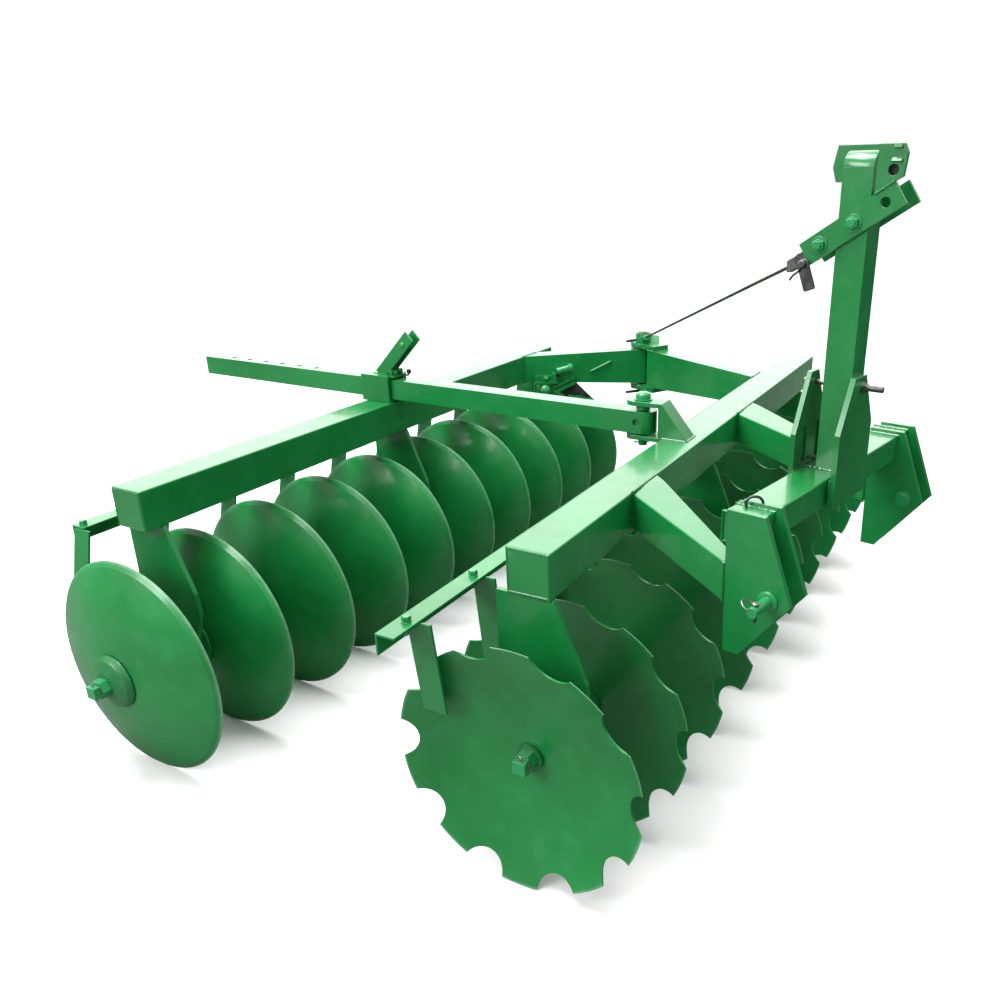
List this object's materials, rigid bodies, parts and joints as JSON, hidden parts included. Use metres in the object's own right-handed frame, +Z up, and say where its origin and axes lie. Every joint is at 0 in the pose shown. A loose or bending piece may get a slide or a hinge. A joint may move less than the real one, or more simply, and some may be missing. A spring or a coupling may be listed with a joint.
{
  "type": "mounted offset disc harrow",
  "caption": "Tractor-mounted offset disc harrow: notched front gang, plain rear gang, hinged frames, sliding angle adjuster and three-point hitch mast.",
  "frame": {"origin": "centre of the machine's footprint at ground level", "axes": "+X forward towards the tractor, +Y to the machine's left, +Z up"},
  "size_m": [2.3904, 2.5478, 1.425],
  "materials": {
    "frame_paint": "glossy green enamel over welded steel",
    "disc_paint": "glossy green enamel over pressed steel discs",
    "painted_castings": "green enamel over rough castings",
    "painted_pins": "green enamel over turned pins",
    "bare_steel": "dull bare steel"
  },
  "bodies": {
    "front_frame": {"front_hangers": "frame_paint", "front_bearings": "painted_castings", "front_scraper_bar": "frame_paint", "front_scrapers": "frame_paint", "front_pivot_arm": "frame_paint", "front_hinge_lugs": "frame_paint", "pivot_pin": "painted_pins", "adjuster_bracket": "frame_paint", "adjuster_pin": "painted_pins", "front_beam": "frame_paint", "hitch_cross_tube": "frame_paint", "right_hitch_clevis": "frame_paint", "right_lower_pin": "painted_pins", "left_hitch_clevis": "frame_paint", "left_lower_pin": "painted_pins", "right_draft_arm": "frame_paint", "left_draft_arm": "frame_paint", "mast_front_plate": "frame_paint", "mast_rear_plate": "frame_paint", "mast_foot_bolt": "bare_steel", "mast_lever_bars": "frame_paint", "mast_lever_bolts": "bare_steel", "top_link_ears": "frame_paint", "mast": "frame_paint", "stay_rod": "bare_steel"},
    "front_gang": {"front_discs": "disc_paint", "front_spools": "painted_castings", "front_axle": "bare_steel", "front_end_washers": "painted_castings", "front_axle_nuts": "bare_steel"},
    "rear_frame": {"rear_hangers": "frame_paint", "rear_bearings": "painted_castings", "rear_scraper_bar": "frame_paint", "rear_scrapers": "frame_paint", "rear_pivot_arm": "frame_paint", "rear_hinge_barrel": "frame_paint", "rear_beam": "frame_paint"},
    "rear_gang": {"rear_discs": "disc_paint", "rear_spools": "painted_castings", "rear_axle": "bare_steel", "rear_end_washers": "painted_castings", "rear_axle_nuts": "bare_steel"},
    "adjuster": {"adjuster_tube": "frame_paint"},
    "sleeve": {"adjuster_sleeve": "frame_paint", "sleeve_lock_lever": "frame_paint"}
  },
  "joints": [
    {"name": "front_gang_roll", "type": "hinge", "parent": "front_frame", "child": "front_gang", "pos_m": [0.79507, -0.87859, 0.28], "axis": [-0.1942, 0.981, 0], "continuous": true},
    {"name": "rear_frame_fold", "type": "hinge", "parent": "front_frame", "child": "rear_frame", "pos_m": [-0.19663, 0.99446, 0.65], "axis": [0, 0, -1], "range_deg": [0, 39.5]},
    {"name": "rear_gang_roll", "type": "hinge", "parent": "rear_frame", "child": "rear_gang", "pos_m": [-0.20243, -1.13609, 0.28], "axis": [-0.175, 0.9846, 0], "continuous": true},
    {"name": "adjuster_swing", "type": "hinge", "parent": "front_frame", "child": "adjuster", "pos_m": [0.49149, -0.0044, 0.76], "axis": [0, 0, -1], "range_deg": [0, 18.2]},
    {"name": "sleeve_swivel", "type": "hinge", "parent": "rear_frame", "child": "sleeve", "pos_m": [-0.40081, -0.14184, 0.72], "axis": [0, 0, 1], "range_deg": [0, 22.3]}
  ],
  "couplings": [
    {"joint": "adjuster_swing", "follows": "rear_frame_fold", "ratio": 0.4489},
    {"joint": "sleeve_swivel", "follows": "rear_frame_fold", "ratio": 0.5511}
  ]
}
